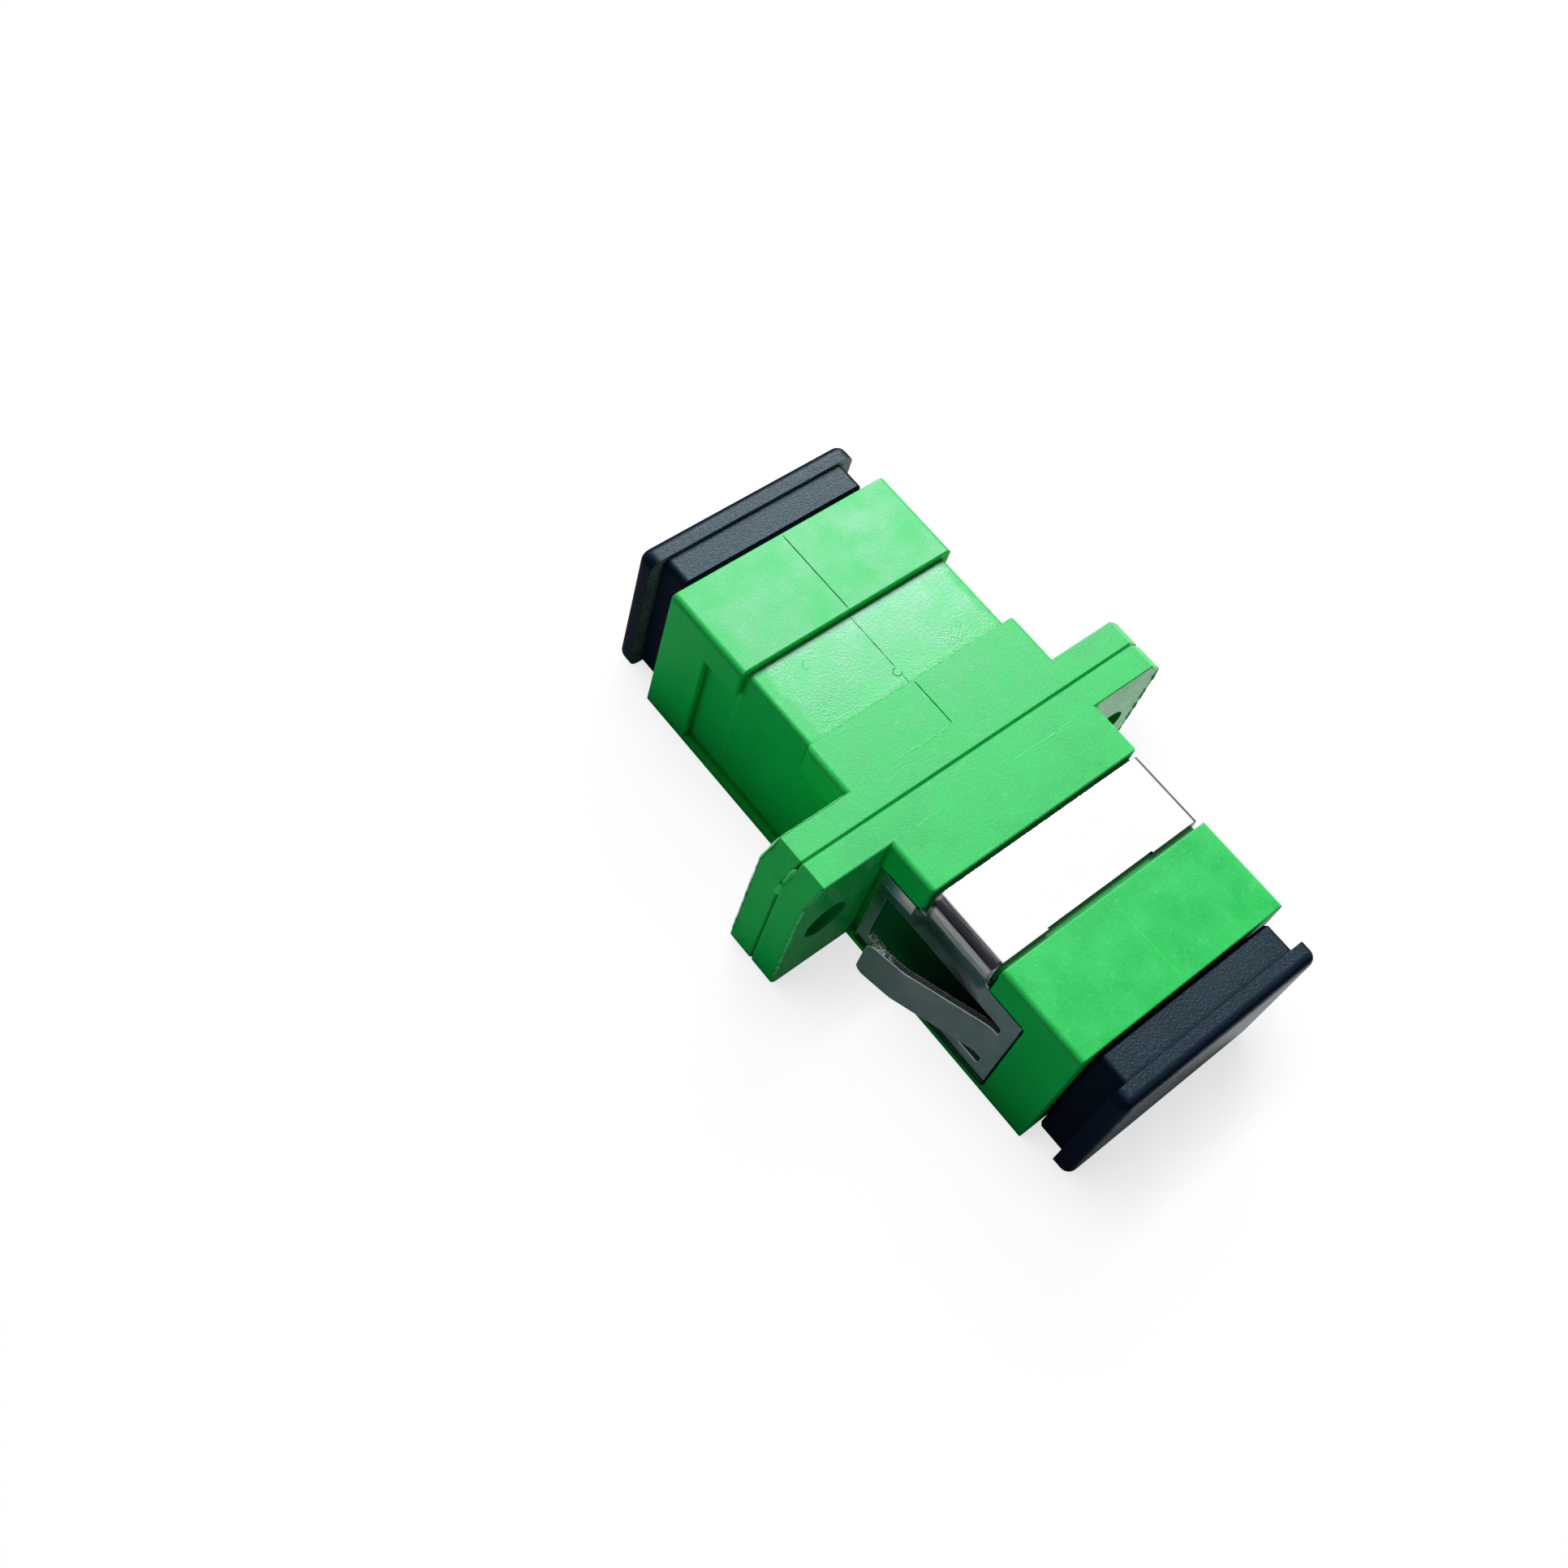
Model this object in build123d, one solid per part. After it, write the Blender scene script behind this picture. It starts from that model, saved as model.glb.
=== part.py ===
from build123d import *
from math import cos, radians, sin
import os

os.makedirs("parts", exist_ok=True)

# Fibre adapter for push-pull connectors, all sizes in mm.
# The optical axis runs along Y, the flange is wide in X, and the key face rests on Z = 0.

# Housing, two equal mouldings that meet at Y = 0
body_width = 13.0
body_height = 8.9
body_reach = 13.8
body_edge_radius = 0.32
key_edge_radius = 0.1
port_face_radius = 0.07
flange_half_thickness = 1.5
flange_chamfer = 0.95
flange_foot_radius = 0.5
flange_edge_bevel = 0.05
seam_bevel = 0.1
hole_spacing = 18.0
hole_radius = 1.15
hole_end_distance = 2.2

# Recess that the clip wraps round, across the clip face and down both sides
recess_depth = 0.4
pad_reach = 4.3
end_block_start = 8.75
pocket_reach = 11.0
pocket_floor = 0.45
pocket_roof_land = 1.85
pad_corner_radius = 0.38
step_edge_bevel = 0.06

# Port that the connector pushes into
port_side_wall = 1.95
port_face_wall = 0.7
port_corner_radius = 0.3
key_slot_width = 2.2
key_slot_length = 7.6

# Pins that locate one housing half on the other, two in each half
pin_radius = 0.5
pin_length = 0.7
pin_hole_offset = 1.3
pin_rise = 2.7
pin_clearance = 0.05

# Latch insert, one in each housing half
insert_plate_ledge = 0.6
insert_plate_thickness = 1.2
insert_clearance = 0.05
hook_reach = 9.2
hook_width = 2.8
hook_inner = 3.35
hook_root_thickness = 1.0
hook_tip_thickness = 0.8
hook_root_radius = 0.4
barb_depth = 0.6
barb_length = 0.5
barb_back_slope = 0.15
barb_ramp = 1.0
barb_mouth = 0.2
hook_side_room = 0.4
hook_flex_room = 0.75
holder_radius = 2.3
holder_reach = 7.3
holder_tip_chamfer = 0.3
ferrule_lead_in = 0.45

# Split sleeve that lines up the two ferrules
ferrule_diameter = 2.5
sleeve_wall = 0.35
sleeve_length = 11.4
sleeve_slit = 0.5
sleeve_clearance = 0.05
holder_lip_clearance = 0.2

# Clip, cut and folded from one sheet
sheet = 0.3
clip_bend_radius = 0.2
clip_clearance = 0.05
strip_pad_gap = 0.2
strip_slack = 0.28
strip_notch_width = 6.6
strip_notch_depth = 0.08
plate_flange_gap = 0.4
plate_corner_radius = 0.15
window_tip_rail = 0.6
window_root_rail = 0.75
window_lower_rail = 0.95
window_upper_rail = 1.65
window_corner_radius = 0.18
tongue_slit = 0.6
tongue_arm_angle = 20.0
tongue_tip_angle = 10.0
tongue_root_length = 0.3
tongue_flat_length = 0.45
tongue_arm_length = 4.5
tongue_tip_length = 2.05
tongue_bend_radius = 2.0
tongue_corner_radius = 0.55

# Dust cap, one in each port, the rear one not pushed fully home
cap_seat_gap = 0.1
rear_cap_lift = 0.12
cap_key_side_step = 0.15
neck_side_step = 1.0
neck_top_step = 0.33
neck_length = 1.6
neck_corner_radius = 0.4
neck_edge_bevel = 0.15
end_plate_side_step = 0.28
end_plate_top_step = 0.15
end_plate_thickness = 1.0
end_plate_corner_radius = 0.6
end_plate_rim_radius = 0.5
plug_clearance = 0.06
plug_wall = 0.6
plug_length = 7.0
plug_lead_in = 0.25
rib_clearance = 0.1
cap_hook_clearance = 0.45

# Places that follow from the sizes above
axis_height = body_height / 2
flange_half_width = hole_spacing / 2 + hole_end_distance
pin_across = hole_spacing / 2 - pin_hole_offset
port_half_width = body_width / 2 - port_side_wall
port_low = port_face_wall
port_high = body_height - port_face_wall
pocket_ceiling = body_height - pocket_roof_land
insert_half_width = port_half_width + insert_plate_ledge
insert_pocket_depth = insert_plate_thickness + insert_clearance
sleeve_radius = ferrule_diameter / 2 + sleeve_wall
sleeve_pocket_radius = sleeve_radius + sleeve_clearance
sleeve_pocket_reach = sleeve_length / 2 + sleeve_clearance
sheet_inner = body_width / 2 - recess_depth
sheet_outer = sheet_inner + sheet
strip_top = body_height - recess_depth + sheet
plate_start = flange_half_thickness + plate_flange_gap
plate_end = pocket_reach - clip_clearance
plate_low = pocket_floor + clip_clearance
plate_high = pocket_ceiling - clip_clearance
cap_start = body_reach + cap_seat_gap
neck_end = cap_start + neck_length
cap_end = neck_end + end_plate_thickness
plug_half_width = port_half_width - plug_clearance
plug_tip = body_reach - plug_length


def along_y(profile, start, end):
    """Extrude a profile drawn in X and Z from one place on Y to another."""
    return extrude(Plane.XZ.offset(-start) * profile, amount=start - end)


def along_x(profile, start, end):
    """Extrude a profile drawn in Y and Z from one place on X to another."""
    return extrude(Plane.YZ.offset(start) * profile, amount=end - start)


def rectangle(first, second, radius=0):
    """A rectangle between two ranges of its plane, with all corners rounded."""
    width = first[1] - first[0]
    height = second[1] - second[0]
    centre = Pos((first[0] + first[1]) / 2, (second[0] + second[1]) / 2)
    if radius == 0:
        return centre * Rectangle(width, height)
    return centre * RectangleRounded(width, height, radius)


def centred(half_width, low, high, radius=0):
    """A rectangle in X and Z with its middle on X = 0."""
    return rectangle((-half_width, half_width), (low, high), radius)


def round_top(profile, radius):
    """Round the two upper corners of a profile."""
    return fillet(profile.vertices().group_by(Axis.Y)[-1], radius)


def both_sides(piece):
    """The piece together with its mirror image across X = 0."""
    return piece + mirror(piece, Plane.YZ)


def turned(piece):
    """The same piece turned round to serve the port at -Y."""
    return Rot(0, 0, 180) * piece


def key_bar(width, inner_end, low, high):
    """A bar on the key face that is open at the port face and round at its inner end."""
    round_centre = inner_end + width / 2
    outline = rectangle((-width / 2, width / 2), (round_centre, body_reach))
    outline += Pos(0, round_centre) * Circle(width / 2)
    return Pos(0, 0, low) * extrude(outline, amount=high - low)


# Housing half

def flange():
    outline = centred(flange_half_width, 0, body_height)
    outline = chamfer(outline.vertices().group_by(Axis.Y)[-1], flange_chamfer)
    outline = fillet(outline.vertices().group_by(Axis.Y)[0], flange_foot_radius)
    for side in (-1, 1):
        outline -= Pos(side * hole_spacing / 2, axis_height) * Circle(hole_radius)
    plate = along_y(outline, 0, flange_half_thickness)
    return chamfer(plate.faces().sort_by(Axis.Y)[-1].outer_wire().edges(), flange_edge_bevel)


def clip_recess():
    """Room for the strip over the clip face and for the plate on each side."""
    core = centred(sheet_inner, 0, body_height - recess_depth)
    core = round_top(core, clip_bend_radius + clip_clearance)
    band = centred(body_width / 2, pocket_floor, body_height) - core
    pocket = rectangle((flange_half_thickness, pocket_reach), (pocket_floor, pocket_ceiling))
    rounded = (body_width / 2 - pad_corner_radius, pad_reach - pad_corner_radius)
    corner = rectangle((rounded[0], body_width / 2), (rounded[1], pad_reach))
    corner -= Pos(*rounded) * Circle(pad_corner_radius)
    corner = Pos(0, 0, pocket_ceiling) * extrude(corner, amount=body_height - pocket_ceiling)
    sides = both_sides(along_x(pocket, sheet_inner, body_width / 2) + corner)
    flare = Polygon(
        (pad_reach - step_edge_bevel, body_height),
        (pad_reach, body_height - step_edge_bevel),
        (end_block_start, body_height - step_edge_bevel),
        (end_block_start + step_edge_bevel, body_height),
        align=None,
    )
    flare = along_x(flare, -body_width / 2, body_width / 2)
    return sides + flare + along_y(band, pad_reach, end_block_start)


def port_room():
    """The port, the pocket of the latch insert and the room its hooks flex into."""
    port = centred(port_half_width, port_low, port_high, port_corner_radius)
    pocket_half_width = insert_half_width + insert_clearance
    pocket = centred(pocket_half_width, port_low, port_high, port_corner_radius)
    relief_half_width = hook_inner + hook_root_thickness + hook_flex_room
    relief_half_height = hook_width / 2 + hook_side_room
    relief = centred(relief_half_width, axis_height - relief_half_height, axis_height + relief_half_height)
    room = along_y(port, insert_pocket_depth, body_reach)
    room += along_y(pocket, 0, insert_pocket_depth)
    return room + along_y(relief, insert_pocket_depth, hook_reach + hook_side_room)


def housing_half():
    outline = round_top(centred(body_width / 2, 0, body_height), body_edge_radius)
    outline = fillet(outline.vertices().group_by(Axis.Y)[0], key_edge_radius)
    shell = along_y(outline, 0, body_reach)
    shell = fillet(shell.faces().sort_by(Axis.Y)[-1].edges(), port_face_radius)
    shell = shell + flange() - clip_recess()
    seam = shell.faces().filter_by(Plane.XZ).sort_by(Axis.Y)[0].outer_wire().edges()
    shell = chamfer(seam, seam_bevel)
    shell -= port_room()
    shell -= key_bar(key_slot_width, body_reach - key_slot_length, 0, port_low)
    for height in (axis_height - pin_rise, axis_height + pin_rise):
        pin = Pos(pin_across, height) * Circle(pin_radius)
        socket = Pos(-pin_across, height) * Circle(pin_radius + pin_clearance)
        shell += along_y(pin, -pin_length, 0)
        shell -= along_y(socket, 0, pin_length + pin_clearance)
    return shell


# Latch insert

def sleeve_holder():
    """Tube that keeps half of the split sleeve behind a lip for the ferrule."""
    lip = ferrule_diameter / 2 + holder_lip_clearance
    section = Polygon(
        (sleeve_pocket_radius, 0),
        (holder_radius, 0),
        (holder_radius, holder_reach - holder_tip_chamfer),
        (holder_radius - holder_tip_chamfer, holder_reach),
        (lip + ferrule_lead_in, holder_reach),
        (lip, holder_reach - ferrule_lead_in),
        (lip, sleeve_pocket_reach),
        (sleeve_pocket_radius, sleeve_pocket_reach),
        align=None,
    )
    return Pos(0, 0, axis_height) * revolve(section, Axis.Y)


def hook():
    """Springy arm with a barb that faces the axis."""
    barb = hook_inner - barb_depth
    ramp_start = hook_reach - barb_ramp
    barb_start = ramp_start - barb_length
    outline = Polygon(
        (hook_inner, 0),
        (hook_inner, barb_start - barb_back_slope),
        (barb, barb_start),
        (barb, ramp_start),
        (hook_inner + barb_mouth, hook_reach),
        (hook_inner + hook_tip_thickness, hook_reach),
        (hook_inner + hook_root_thickness, 0),
        align=None,
    )
    return Pos(0, 0, axis_height) * extrude(outline, amount=hook_width / 2, both=True)


def latch_insert():
    low = port_low + insert_clearance
    high = port_high - insert_clearance
    plate = centred(insert_half_width, low, high, port_corner_radius)
    plate -= Pos(0, axis_height) * Circle(sleeve_pocket_radius)
    insert = along_y(plate, 0, insert_plate_thickness) + sleeve_holder() + both_sides(hook())
    roots = insert.edges().filter_by(Axis.Z).filter_by(
        lambda edge: abs(edge.center().Y - insert_plate_thickness) < 0.01
        and abs(edge.center().X) < hook_inner + 2 * hook_root_thickness
        and edge.length < hook_width + 0.01
    )
    return fillet(roots, hook_root_radius)


# Split sleeve

def split_sleeve():
    ring = Circle(sleeve_radius) - Circle(ferrule_diameter / 2)
    ring -= rectangle((-sleeve_slit / 2, sleeve_slit / 2), (0, 2 * sleeve_radius))
    return along_y(Pos(0, axis_height) * ring, -sleeve_length / 2, sleeve_length / 2)


# Clip

def tongue(window_root, low, high):
    """Spring tongue, bent out of the side plate at its root and eased back at its tip."""
    arm = radians(tongue_arm_angle)
    tip = radians(tongue_tip_angle)
    middle = sheet_inner + sheet / 2
    bend = (middle, window_root - tongue_flat_length)
    knee = (middle + tongue_arm_length * sin(arm), bend[1] - tongue_arm_length * cos(arm))
    end = (knee[0] + tongue_tip_length * sin(tip), knee[1] - tongue_tip_length * cos(tip))
    root = (middle, window_root + tongue_root_length)
    path = FilletPolyline(root, bend, knee, end, radius=tongue_bend_radius)
    folded = extrude(trace(path, sheet), amount=high)
    outline = rectangle((end[1], root[1]), (low, high))
    outline = fillet(outline.vertices().group_by(Axis.X)[0], tongue_corner_radius)
    return folded & along_x(outline, sheet_inner, end[0] + sheet)


def mounting_clip():
    strip_start = pad_reach + strip_pad_gap
    strip_end = end_block_start - strip_slack
    outer = round_top(centred(sheet_outer, plate_low, strip_top), clip_bend_radius + sheet)
    inner = round_top(centred(sheet_inner, plate_low, strip_top - sheet), clip_bend_radius)
    strip = along_y(outer - inner, strip_start, strip_end)
    half_notch = strip_notch_width / 2
    notch = rectangle((-half_notch, half_notch), (strip_end - strip_notch_depth, strip_end))
    strip -= Pos(0, 0, strip_top - sheet) * extrude(notch, amount=sheet)

    window_y = (plate_start + window_tip_rail, plate_end - window_root_rail)
    window_z = (plate_low + window_lower_rail, plate_high - window_upper_rail)
    window = along_x(rectangle(window_y, window_z, window_corner_radius), sheet_inner, sheet_outer)
    plate = rectangle((plate_start, plate_end), (plate_low, plate_high), plate_corner_radius)
    plate = along_x(plate, sheet_inner, sheet_outer)
    bent_tongue = tongue(window_y[1], window_z[0] + tongue_slit, window_z[1] - tongue_slit)
    return strip + both_sides(plate) - both_sides(window) + both_sides(bent_tongue)


# Dust cap

def dust_cap():
    end_half_width = body_width / 2 - end_plate_side_step
    end_top = body_height - end_plate_top_step
    end_outline = centred(end_half_width, cap_key_side_step, end_top, end_plate_corner_radius)
    end_plate = along_y(end_outline, neck_end, cap_end)
    end_plate = fillet(end_plate.faces().sort_by(Axis.Y)[-1].edges(), end_plate_rim_radius)

    neck_half_width = body_width / 2 - neck_side_step
    neck_top = body_height - neck_top_step
    neck_outline = centred(neck_half_width, cap_key_side_step, neck_top, neck_corner_radius)
    neck = along_y(neck_outline, cap_start, neck_end)
    neck = chamfer(neck.faces().sort_by(Axis.Y)[0].edges(), neck_edge_bevel)

    low = port_low + plug_clearance
    high = port_high - plug_clearance
    plug = along_y(centred(plug_half_width, low, high, port_corner_radius), plug_tip, cap_start)
    plug = chamfer(plug.faces().sort_by(Axis.Y)[0].edges(), plug_lead_in)
    rib_half_width = key_slot_width / 2 - rib_clearance
    rib = key_bar(2 * rib_half_width, plug_tip, cap_key_side_step, low + plug_wall)
    rib += along_y(centred(rib_half_width, cap_key_side_step, low + plug_wall), body_reach, neck_end)

    hollow = centred(plug_half_width - plug_wall, low + plug_wall, high - plug_wall)
    slot_half_height = hook_width / 2 + cap_hook_clearance
    hook_slot = centred(plug_half_width, axis_height - slot_half_height, axis_height + slot_half_height)
    cap = end_plate + neck + plug + rib
    cap -= along_y(hollow, plug_tip, neck_end)
    return cap - along_y(hook_slot, plug_tip, hook_reach + cap_hook_clearance)


pieces = {
    "housing_front": turned(housing_half()),
    "housing_rear": housing_half(),
    "latch_insert_front": turned(latch_insert()),
    "latch_insert_rear": latch_insert(),
    "split_sleeve": split_sleeve(),
    "mounting_clip": turned(mounting_clip()),
    "dust_cap_front": turned(dust_cap()),
    "dust_cap_rear": Pos(0, rear_cap_lift, 0) * dust_cap(),
}

for name, piece in pieces.items():
    export_step(piece, f"parts/{name}.step")
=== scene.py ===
from math import cos, pi, radians, sin, tan

import bpy
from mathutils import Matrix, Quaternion, Vector, noise


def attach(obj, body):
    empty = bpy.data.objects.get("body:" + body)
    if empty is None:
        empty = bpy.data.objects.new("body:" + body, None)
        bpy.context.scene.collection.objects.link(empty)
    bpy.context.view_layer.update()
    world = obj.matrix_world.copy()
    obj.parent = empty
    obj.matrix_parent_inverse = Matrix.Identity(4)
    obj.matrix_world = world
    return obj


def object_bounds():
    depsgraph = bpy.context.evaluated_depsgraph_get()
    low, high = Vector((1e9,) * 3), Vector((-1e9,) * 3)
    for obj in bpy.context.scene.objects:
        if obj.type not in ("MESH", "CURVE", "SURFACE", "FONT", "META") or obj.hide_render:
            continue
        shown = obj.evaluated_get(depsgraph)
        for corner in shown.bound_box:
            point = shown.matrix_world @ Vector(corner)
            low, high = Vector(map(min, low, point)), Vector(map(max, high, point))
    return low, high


# Flanged fibre adapter on a white studio floor
# The frame is in metres, so lengths in millimetres are multiplied by MM.
MM = 0.001

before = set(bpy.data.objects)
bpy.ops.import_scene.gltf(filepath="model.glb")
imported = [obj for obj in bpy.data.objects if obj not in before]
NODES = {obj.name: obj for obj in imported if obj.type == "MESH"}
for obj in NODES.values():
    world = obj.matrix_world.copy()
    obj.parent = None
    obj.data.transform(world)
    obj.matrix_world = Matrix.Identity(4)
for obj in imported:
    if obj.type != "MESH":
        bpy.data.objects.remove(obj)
cad_low, cad_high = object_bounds()

# Camera, found from corners of the photograph
CAMERA_AZIMUTH = -58.02
CAMERA_ELEVATION = 58.56
CAMERA_ROLL = 21.21
CAMERA_TARGET = Vector((-6.14, 4.84, 4.45)) * MM
CAMERA_DISTANCE = 90.76 * MM
CAMERA_LENS = 45.49
CAMERA_SENSOR = 36.0
CAMERA_CLIP_START = 1.0 * MM

# Studio
FLOOR_HALF_SIZE = 1.5
FLOOR_DROP = 0.01 * MM
FLOOR_COLOUR = 0.8
FLOOR_BOUNCE = 0.6
FLOOR_SHADED = 0.045
FLOOR_LIFT = 0.975
CONTACT_SIDE = Vector((-0.35, 0.75, 0.56))
CONTACT_REACH = 4.0 * MM
CONTACT_SHADE = 0.4
CONTACT_SAMPLES = 3
SKY_LEVEL = 0.08
SKY_SEEN_LEVEL = 1.0
SOFTBOX_AIM = Vector((0.54, 0.48, 0.69))
SOFTBOX_DISTANCE = 0.5
SOFTBOX_HALF_ANGLE = 14.0
SOFTBOX_LEVEL = 20.0

# Places on the part, in millimetres
HALF_BODY = 6.5
POCKET_TOP = 7.05
POCKET_END = 11.0
POCKET_FOOT = 0.5
CLIP_FACE = 8.9
RECESS_FACE = 8.5
PAD_EDGE = 4.3
BLOCK_EDGE = 8.75
PORT_EDGE = 13.8
FLANGE_FACE = 1.5
FLANGE_END = 11.2
FLANGE_SLOPE = 0.95
HOLE_ACROSS = 9.0
HOLE_HEIGHT = 4.45
HOLE_REACH = 1.18

# Where the looks change, in millimetres, each from and to
BEHIND_CLIP_ACROSS = (5.6, 6.2)
BEHIND_CLIP_ALONG = (-9.8, -2.0)
BEHIND_CLIP_HEIGHT = (0.6, 7.2)
POLISH_ACROSS = (-5.2, 5.6)
POLISH_ALONG = (4.2, 8.6)
POLISH_HEIGHT = (8.45, 8.55)
PAD_WALL_HEIGHT = (8.62, 9.2)
CAP_LIP_ALONG = (-16.6, -16.05)
FOLD_LEVEL = (6.2, 20.0)
STRIP_HEIGHT = (8.6, 9.0)
CUT_HEIGHT = (0.0, 8.2)
RIM_HEIGHT = (0.0, 7.9)
TORN_ALONG = (-4.6, -2.0)
TONGUE_TIP_ALONG = (-3.0, 0.0)
TONGUE_TIP_HEIGHT = (4.2, 8.0)

# Textures: sizes of features, depths of relief, radii of rounded edges and reaches of the shade painted into
# gaps
GREEN_MOTTLE = 1.6 * MM
GREEN_SPECKLE = 0.12 * MM
GREEN_SCUFFS = 0.6 * MM
GREEN_WAVES = 2.2 * MM
GREEN_WAVE_DEPTH = 0.008 * MM
GREEN_SPECKLE_DEPTH = 0.0025 * MM
GREEN_EDGE_RADIUS = 0.07 * MM
GREEN_GAP_REACH = 0.35 * MM
BLACK_GRAIN = 0.10 * MM
BLACK_CLOUD = 1.5 * MM
BLACK_GRAIN_DEPTH = 0.010 * MM
BLACK_EDGE_RADIUS = 0.03 * MM
BLACK_GAP_REACH = 0.3 * MM
STEEL_LINES = 0.05 * MM
STEEL_STREAKS = 0.07 * MM
STEEL_CLOUD = 0.9 * MM
STEEL_BURR = 0.08 * MM
STEEL_FOLD_DEPTH = 0.22 * MM
STEEL_LINE_DEPTH = 0.0003 * MM
STEEL_BURR_DEPTH = 0.03 * MM
STEEL_EDGE_RADIUS = 0.08 * MM
CERAMIC_CLOUD = 0.8 * MM
CERAMIC_EDGE_RADIUS = 0.03 * MM
ROUNDING_SAMPLES = 3
GAP_SAMPLES = 2

# Roughness: each material's range, what polish takes off, and the least on its roughest places
GREEN_ROUGHNESS = (0.29, 0.45)
GREEN_POLISH = 0.16
BLACK_ROUGHNESS = (0.30, 0.42)
BLACK_SHADE_ROUGHNESS = 0.9
STEEL_ROUGHNESS = (0.20, 0.24)
STRIP_POLISH = 0.1
RIM_ROUGHNESS = 0.4
CERAMIC_ROUGHNESS = (0.10, 0.18)

# Colours of the green plastic, before tone and haze
GREEN_DARK = (0.004, 0.560, 0.080)
GREEN_PALE = (0.032, 0.760, 0.140)
GREEN_SCUFFED = (0.110, 0.820, 0.230)
GREEN_SIDE_SHADE = (0.0, 0.80, 0.145)
GREEN_RUBBED_AND_HIGHLIT = (0.45, 1.0, 0.60)
GREEN_GAP_SHADE = (0.0, 0.012, 0.006)
GREEN_HOLE_SHADE = (0.0, 0.32, 0.06)
GREEN_SHADED_BEHIND_TIP = (0.0, 0.20, 0.055)
GREEN_SHADED_BEHIND_ROOT = (0.0, 0.035, 0.018)
GREEN_TINT = (0.77, 0.64, 1.0, 1.0)
HAZE_LEVEL = 0.8

# Colours of the black plastic, the steel and the ceramic
BLACK_DARK = (0.005, 0.015, 0.027)
BLACK_PALE = (0.009, 0.022, 0.037)
BLACK_GRAINED = (0.035, 0.055, 0.080)
BLACK_END_SHEEN = (0.25, 0.30, 0.33)
BLACK_SHADE = (0.001, 0.004, 0.016)
BLACK_TINT = (0.65, 0.92, 1.0, 1.0)
STEEL_STRIP_HIGHLIGHT = ((0.96, 0.945, 0.93), (0.995, 0.98, 0.965))
STEEL_GREY = ((0.47, 0.585, 0.63), (0.57, 0.695, 0.74))
STEEL_TIP_REFLECTION = (0.12, 0.25, 0.28)
STEEL_CUT = (0.05, 0.055, 0.055)
STEEL_RIM_HIGHLIGHT = (0.97, 0.96, 0.94)
CERAMIC_COLOURS = ((0.80, 0.79, 0.76), (0.86, 0.86, 0.84))

# Painted reflections on the clip along its folds: colours by height in millimetres
REFLECTION_BAND_STOPS = (
    (6.2, (0.16, 0.32, 0.34)),
    (7.15, (0.16, 0.30, 0.32)),
    (7.25, (0.15, 0.20, 0.21)),
    (7.45, (0.30, 0.34, 0.35)),
    (7.65, (0.37, 0.41, 0.41)),
    (7.9, (0.58, 0.58, 0.56)),
    (8.05, (0.55, 0.55, 0.54)),
    (8.16, (0.19, 0.20, 0.24)),
    (8.27, (0.035, 0.040, 0.055)),
    (8.66, (0.030, 0.032, 0.042)),
    (8.72, (0.10, 0.095, 0.11)),
    (8.8, (0.20, 0.19, 0.21)),
)

# Moulding marks and lines of painted shade and highlight: heights and steps in millimetres, and the shape of
# a line
# The section's points are shares of the line's width and height.
MARK_HEIGHT = 0.01
STAIN_AND_SHADE_HEIGHT = 0.004
FLASH_HEIGHT = 0.03
MARK_STEP = 0.12
RING_STEPS = 20
LINE_SECTION = ((-0.5, -0.4), (-0.3, 0.7), (0.0, 1.0), (0.3, 0.7), (0.5, -0.4))
LINE_END_WIDTH = 0.25
LINE_LEAST_WIDTH = 0.05
WAVER_SCALE = 2.7
SHIFT_SCALE = 1.3
SHIFT_SHARE = 0.2
SHIFT_PLACE = Vector((7, 3, 5))


def direction(azimuth, elevation):
    """Unit vector from the object towards a viewer; azimuth 0 looks along +Y."""
    a, e = radians(azimuth), radians(elevation)
    return Vector((sin(a) * cos(e), -cos(a) * cos(e), sin(e)))


def make_camera():
    back = direction(CAMERA_AZIMUTH, CAMERA_ELEVATION)
    camera = bpy.data.objects.new("camera", bpy.data.cameras.new("camera"))
    camera.data.lens = CAMERA_LENS
    camera.data.sensor_width = CAMERA_SENSOR
    camera.data.clip_start = CAMERA_CLIP_START
    camera.location = CAMERA_TARGET + back * CAMERA_DISTANCE
    camera.rotation_mode = "QUATERNION"
    roll = Quaternion((0, 0, 1), radians(CAMERA_ROLL))
    camera.rotation_quaternion = (-back).to_track_quat("-Z", "Y") @ roll
    bpy.context.scene.collection.objects.link(camera)
    bpy.context.scene.camera = camera


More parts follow.
